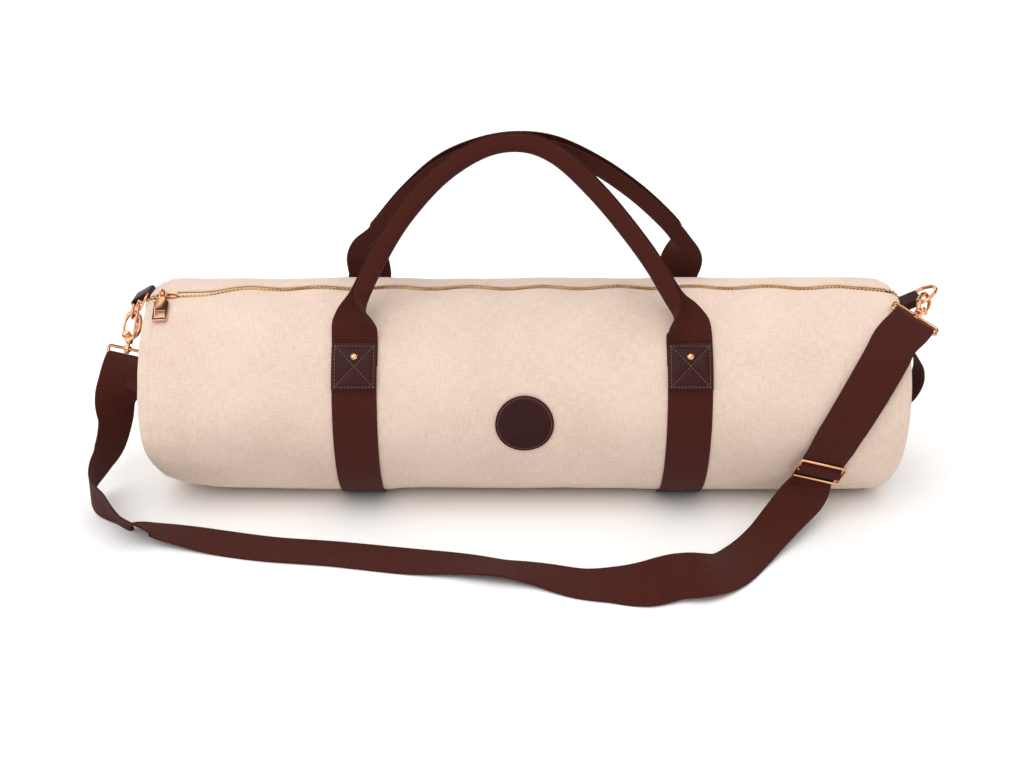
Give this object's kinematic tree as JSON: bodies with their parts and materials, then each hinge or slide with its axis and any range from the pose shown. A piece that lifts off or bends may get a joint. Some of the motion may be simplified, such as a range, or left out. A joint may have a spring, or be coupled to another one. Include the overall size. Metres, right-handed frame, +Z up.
{
  "type": "yoga mat bag",
  "caption": "Long round canvas duffel for a rolled mat: top zip, webbing carry handles with leather patches, end handles, and a clip-on shoulder strap lying in front.",
  "frame": {"origin": "on the floor, under the middle of the bag's underside", "axes": "+X along the bag towards its right end, the front with the badge faces -Y, +Z up"},
  "size_m": [0.7548, 0.3218, 0.3275],
  "materials": {
    "canvas": "pale sand cotton canvas",
    "zip_cloth": "woven zip tape, cream",
    "webbing": "dark red-brown cotton webbing",
    "leather": "dark brown leather, satin",
    "rose_gold": "polished rose-gold plated zinc",
    "teeth": "brass zip teeth"
  },
  "bodies": {
    "bag": {"body_panel": "canvas", "end_panel_left": "canvas", "end_panel_right": "canvas", "zip_tape_front": "zip_cloth", "zip_tape_back": "zip_cloth", "zip_chain": "teeth", "zip_slider_top": "rose_gold", "zip_slider_end": "rose_gold", "band_left": "webbing", "patch_front_left": "leather", "rivet_front_left": "rose_gold", "patch_back_left": "leather", "rivet_back_left": "rose_gold", "band_right": "webbing", "patch_front_right": "leather", "rivet_front_right": "rose_gold", "patch_back_right": "leather", "rivet_back_right": "rose_gold", "handle_front": "webbing", "handle_back": "webbing", "badge": "leather", "end_tab_left": "leather", "d_ring_left": "rose_gold", "hook_body_left": "rose_gold", "strap_ring_left": "rose_gold", "end_handle_left": "webbing", "end_tab_right": "leather", "d_ring_right": "rose_gold", "hook_body_right": "rose_gold", "strap_ring_right": "rose_gold", "end_handle_right": "webbing", "strap_adjuster": "rose_gold", "shoulder_strap": "webbing"},
    "pull_top": {"zip_pull_top": "rose_gold"},
    "pull_end": {"zip_pull_end": "rose_gold"},
    "gate_left": {"hook_gate_left": "rose_gold"},
    "gate_right": {"hook_gate_right": "rose_gold"}
  },
  "joints": [
    {"name": "zip_pull_top_hinge", "type": "hinge", "parent": "bag", "child": "pull_top", "pos_m": [-0.31581, -0.01738, 0.18852], "axis": [-0.9984, -0.0558, -0.0099], "range_deg": [0, 150]},
    {"name": "zip_pull_end_hinge", "type": "hinge", "parent": "bag", "child": "pull_end", "pos_m": [-0.33833, -0.01537, 0.17685], "axis": [0, 1, 0], "range_deg": [0, 120]},
    {"name": "hook_gate_left_hinge", "type": "hinge", "parent": "bag", "child": "gate_left", "pos_m": [-0.35785, -0.00064, 0.14216], "axis": [-0.0926, 0.9075, -0.4097], "range_deg": [0, 22], "stiffness_Nm_per_rad": 0.01, "springref_deg": -14.32},
    {"name": "hook_gate_right_hinge", "type": "hinge", "parent": "bag", "child": "gate_right", "pos_m": [0.3475, -0.02852, 0.17406], "axis": [0.6831, -0.5318, 0.5006], "range_deg": [0, 22], "stiffness_Nm_per_rad": 0.01, "springref_deg": -14.32}
  ]
}
